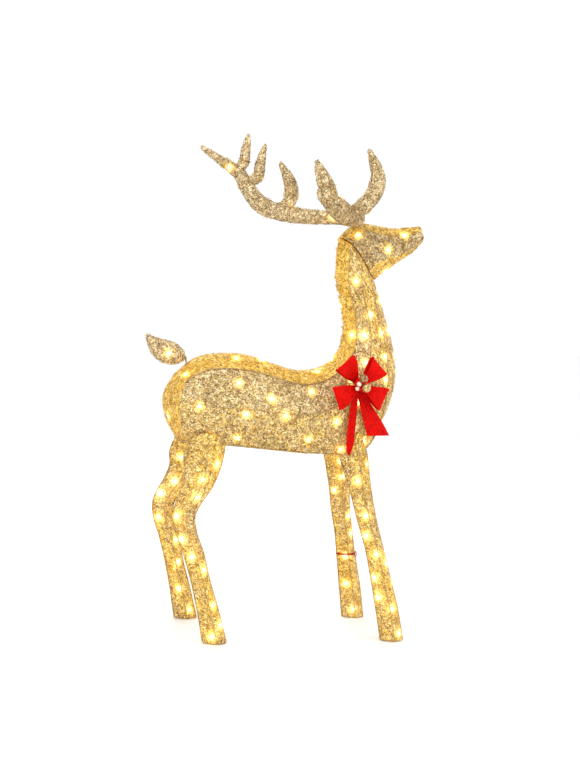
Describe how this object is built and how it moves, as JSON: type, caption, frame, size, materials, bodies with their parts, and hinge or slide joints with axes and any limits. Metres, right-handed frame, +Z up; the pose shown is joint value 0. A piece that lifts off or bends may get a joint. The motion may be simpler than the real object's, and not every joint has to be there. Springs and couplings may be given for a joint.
{
  "type": "light up yard reindeer",
  "caption": "Standing wire-frame reindeer wrapped in gold glitter mesh, lit inside by fairy lights, with antlers, tail and a red bow.",
  "frame": {"origin": "on the ground under the middle of the object's box", "axes": "+X the way the deer looks, +Y its left side, +Z up"},
  "size_m": [0.1678, 0.119, 0.2995],
  "materials": {
    "frame_wire": "gold lacquered steel wire",
    "glitter_mesh": "open gauze of gold and silver glitter threads",
    "light_string": "fine lacquered wire with clear resin drops, lit warm white",
    "ribbon": "satin ribbon",
    "tie_wire": "thin wire",
    "gold_bead": "satin gold",
    "bronze_bead": "satin bronze",
    "pale_bead": "pearl",
    "thread": "thin thread",
    "case_plastic": "moulded, brown",
    "switch_plastic": "moulded, black",
    "cell_jacket": "plain printed jacket",
    "contact_steel": "plated"
  },
  "bodies": {
    "deer": {"body_frame": "frame_wire", "head_frame": "frame_wire", "skin_side_left": "glitter_mesh", "skin_side_right": "glitter_mesh", "skin_back": "glitter_mesh", "skin_belly": "glitter_mesh", "skin_head": "glitter_mesh", "lights_body": "light_string", "lights_head": "light_string", "bow_loops_back": "ribbon", "bow_loops_front": "ribbon", "bow_tails": "ribbon", "bow_knot": "ribbon", "bow_tie_wire": "tie_wire", "bead_gold": "gold_bead", "bead_bronze": "bronze_bead", "bead_pale": "pale_bead", "bead_small": "pale_bead", "battery_case": "case_plastic", "contact_spring_left": "contact_steel", "contact_spring_right": "contact_steel", "contact_plate": "contact_steel", "cell_left": "cell_jacket", "cell_right": "cell_jacket"},
    "tail": {"tail_frame": "frame_wire", "skin_tail": "glitter_mesh", "lights_tail": "light_string"},
    "antler_left": {"antler_frame_left": "frame_wire", "skin_antler_left": "glitter_mesh", "lights_antler_left": "light_string"},
    "antler_right": {"antler_frame_right": "frame_wire", "skin_antler_right": "glitter_mesh", "lights_antler_right": "light_string"},
    "door": {"battery_door": "case_plastic"},
    "switch": {"switch_knob": "switch_plastic"},
    "leg_hind_left": {"leg_frame_hind_left": "frame_wire", "skin_leg_hind_left": "glitter_mesh", "lights_leg_hind_left": "light_string"},
    "leg_hind_right": {"leg_frame_hind_right": "frame_wire", "skin_leg_hind_right": "glitter_mesh", "lights_leg_hind_right": "light_string"},
    "leg_front_left": {"leg_frame_front_left": "frame_wire", "skin_leg_front_left": "glitter_mesh", "lights_leg_front_left": "light_string", "thread_front_left": "thread"},
    "leg_front_right": {"leg_frame_front_right": "frame_wire", "skin_leg_front_right": "glitter_mesh", "lights_leg_front_right": "light_string"}
  },
  "joints": [
    {"name": "tail_swing", "type": "hinge", "parent": "deer", "child": "tail", "pos_m": [-0.0559, -0.01051, 0.1515], "axis": [0, 1, 0], "range_deg": [-24, 10]},
    {"name": "battery_door_hinge", "type": "hinge", "parent": "deer", "child": "door", "pos_m": [-0.03948, -0.01051, 0.11334], "axis": [0, 1, 0], "range_deg": [0, 80]},
    {"name": "switch_slide", "type": "slide", "parent": "deer", "child": "switch", "axis": [0, 1, 0], "range_m": [0, 0.0025]},
    {"name": "antler_lift_left", "type": "slide", "parent": "deer", "child": "antler_left", "axis": [0, 0, 1], "range_m": [0, 0.012]},
    {"name": "antler_lift_right", "type": "slide", "parent": "deer", "child": "antler_right", "axis": [0, 0, 1], "range_m": [0, 0.012]},
    {"name": "leg_pull_hind_left", "type": "slide", "parent": "deer", "child": "leg_hind_left", "axis": [0, 0, -1], "range_m": [0, 0.014]},
    {"name": "leg_pull_hind_right", "type": "slide", "parent": "deer", "child": "leg_hind_right", "axis": [0, 0, -1], "range_m": [0, 0.014]},
    {"name": "leg_pull_front_left", "type": "slide", "parent": "deer", "child": "leg_front_left", "axis": [0, 0, -1], "range_m": [0, 0.014]},
    {"name": "leg_pull_front_right", "type": "slide", "parent": "deer", "child": "leg_front_right", "axis": [0, 0, -1], "range_m": [0, 0.014]}
  ]
}
